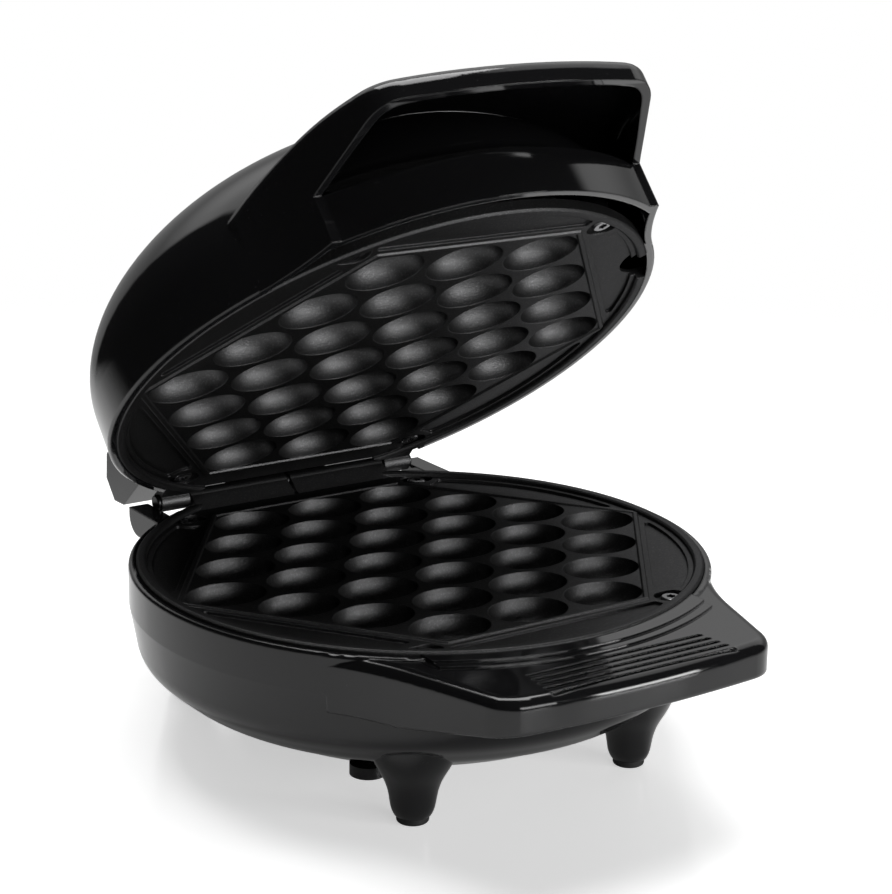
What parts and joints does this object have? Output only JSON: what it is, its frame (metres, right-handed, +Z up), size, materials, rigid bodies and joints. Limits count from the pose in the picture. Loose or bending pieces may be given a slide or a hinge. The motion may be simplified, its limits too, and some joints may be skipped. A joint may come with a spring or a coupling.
{
  "type": "bubble waffle maker",
  "caption": "Round table-top waffle maker on legs, lid standing open: hinged cast plates with rows of egg-shaped cells, gloss casings, visor handle and carrying platform.",
  "frame": {"origin": "middle of the open appliance's footprint box, on the surface it stands on", "axes": "+Z up, X along the hinge axis, the carrying platform towards -Y and the hinge towards +Y"},
  "size_m": [0.21, 0.2654, 0.2504],
  "materials": {
    "casing": "high gloss black",
    "coated_plate": "satin black non-stick coat with a fine grain",
    "pad_rubber": "matt black",
    "screw_steel": "dark plated",
    "hinge_steel": "dark",
    "sheet_steel": "plain sheet",
    "tube_steel": "heat-stained tube",
    "ceramic": "matt off-white",
    "black_plastic": "fine matt texture",
    "block_plastic": "plain",
    "wire_sleeve": "silicone sleeve",
    "red_lens": "clear red",
    "green_lens": "clear green",
    "lamp_glass": "clear"
  },
  "bodies": {
    "base": {"base_shell": "casing", "bottom_cover": "black_plastic", "bottom_cover_screws": "screw_steel", "foot_pads": "pad_rubber", "lower_plate": "coated_plate", "lower_plate_screws": "screw_steel", "lower_element": "tube_steel", "lower_element_supports": "ceramic", "lower_reflector": "sheet_steel", "lower_reflector_screws": "screw_steel", "lower_thermostat": "sheet_steel", "thermal_fuse": "ceramic", "terminal_block": "block_plastic", "base_wiring": "wire_sleeve", "cord_gland": "black_plastic", "hinge_pin": "hinge_steel", "hinge_caps": "hinge_steel", "hinge_collar": "hinge_steel"},
    "lid": {"lid_shell": "casing", "upper_plate": "coated_plate", "upper_plate_screws": "screw_steel", "upper_element": "tube_steel", "upper_element_supports": "ceramic", "upper_reflector": "sheet_steel", "upper_reflector_screws": "screw_steel", "upper_thermostat": "sheet_steel", "lid_terminal_block": "block_plastic", "lid_wiring": "wire_sleeve", "power_lens": "red_lens", "ready_lens": "green_lens", "power_lamp": "lamp_glass", "ready_lamp": "lamp_glass", "lamp_holder": "black_plastic", "holder_screws": "screw_steel"}
  },
  "joints": [
    {"name": "lid_hinge", "type": "hinge", "parent": "base", "child": "lid", "pos_m": [0, 0.10094, 0.07], "axis": [-1, 0, 0], "range_deg": [-41.5, 53.5]}
  ]
}
